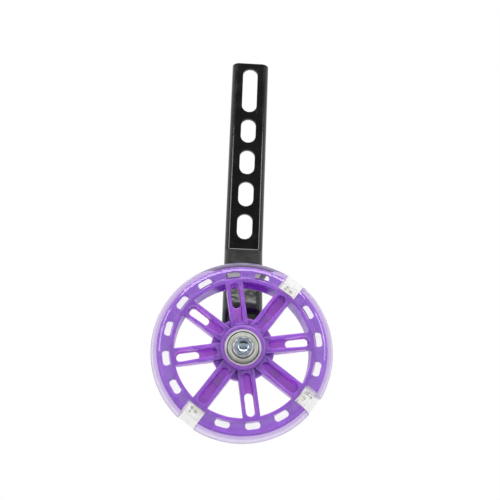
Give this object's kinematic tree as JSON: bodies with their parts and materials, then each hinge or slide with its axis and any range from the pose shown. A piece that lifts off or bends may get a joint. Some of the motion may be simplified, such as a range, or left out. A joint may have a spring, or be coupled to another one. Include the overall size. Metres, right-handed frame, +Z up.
{
  "type": "bicycle training wheel",
  "caption": "Spoked plastic training wheel with a clear tyre and built-in light blocks, on ball bearings at the foot of a stepped, slotted steel bracket.",
  "frame": {"origin": "on the back face of the bracket's web, midway between the outer two of the four short axle slots", "axes": "+Z up along the bracket, +Y inboard towards the bicycle, along the axle; the wheel is on the -Y side"},
  "size_m": [0.11, 0.0611, 0.269],
  "materials": {
    "black_paint": "gloss",
    "purple_plastic": "gloss, slightly see-through",
    "clear_urethane": "clear, smooth",
    "milky_plastic": "milky, smooth",
    "board": "matt",
    "lamp_resin": "clear, moulded",
    "copper_wire": "enamelled wire",
    "iron": "plain",
    "lead_sleeve": "smooth",
    "zinc_steel": "zinc plated",
    "bearing_steel": "ground",
    "shield_steel": "pressed",
    "magnet": "matt",
    "nylon": "satin"
  },
  "bodies": {
    "bracket_and_axle": {"bracket": "black_paint", "axle_bolt": "zinc_steel", "axle_sleeve": "zinc_steel", "magnet_ring": "magnet", "front_inner_race": "bearing_steel", "rear_inner_race": "bearing_steel", "spacer": "zinc_steel", "washer": "zinc_steel", "lock_nut": "zinc_steel", "nut_insert": "nylon"},
    "wheel": {"wheel_core": "purple_plastic", "tyre": "clear_urethane", "front_outer_race": "bearing_steel", "front_shields": "shield_steel", "rear_outer_race": "bearing_steel", "rear_shields": "shield_steel", "light_block_1": "milky_plastic", "light_board_1": "board", "lamps_1": "lamp_resin", "coil_1": "copper_wire", "coil_rod_1": "iron", "light_leads_1": "lead_sleeve", "coil_cover_1": "purple_plastic", "light_block_2": "milky_plastic", "light_board_2": "board", "lamps_2": "lamp_resin", "coil_2": "copper_wire", "coil_rod_2": "iron", "light_leads_2": "lead_sleeve", "coil_cover_2": "purple_plastic", "light_block_3": "milky_plastic", "light_board_3": "board", "lamps_3": "lamp_resin", "coil_3": "copper_wire", "coil_rod_3": "iron", "light_leads_3": "lead_sleeve", "coil_cover_3": "purple_plastic"},
    "front_ball_set": {"front_balls": "bearing_steel", "front_cage": "shield_steel"},
    "rear_ball_set": {"rear_balls": "bearing_steel", "rear_cage": "shield_steel"}
  },
  "joints": [
    {"name": "wheel_spin", "type": "hinge", "parent": "bracket_and_axle", "child": "wheel", "pos_m": [0, -0.039, -0.127], "axis": [0, 1, 0], "continuous": true},
    {"name": "front_ball_spin", "type": "hinge", "parent": "bracket_and_axle", "child": "front_ball_set", "pos_m": [0, -0.0481, -0.127], "axis": [0, 1, 0], "continuous": true},
    {"name": "rear_ball_spin", "type": "hinge", "parent": "bracket_and_axle", "child": "rear_ball_set", "pos_m": [0, -0.0299, -0.127], "axis": [0, 1, 0], "continuous": true}
  ],
  "couplings": [
    {"joint": "front_ball_spin", "follows": "wheel_spin", "ratio": 0.6323},
    {"joint": "rear_ball_spin", "follows": "wheel_spin", "ratio": 0.6323}
  ]
}
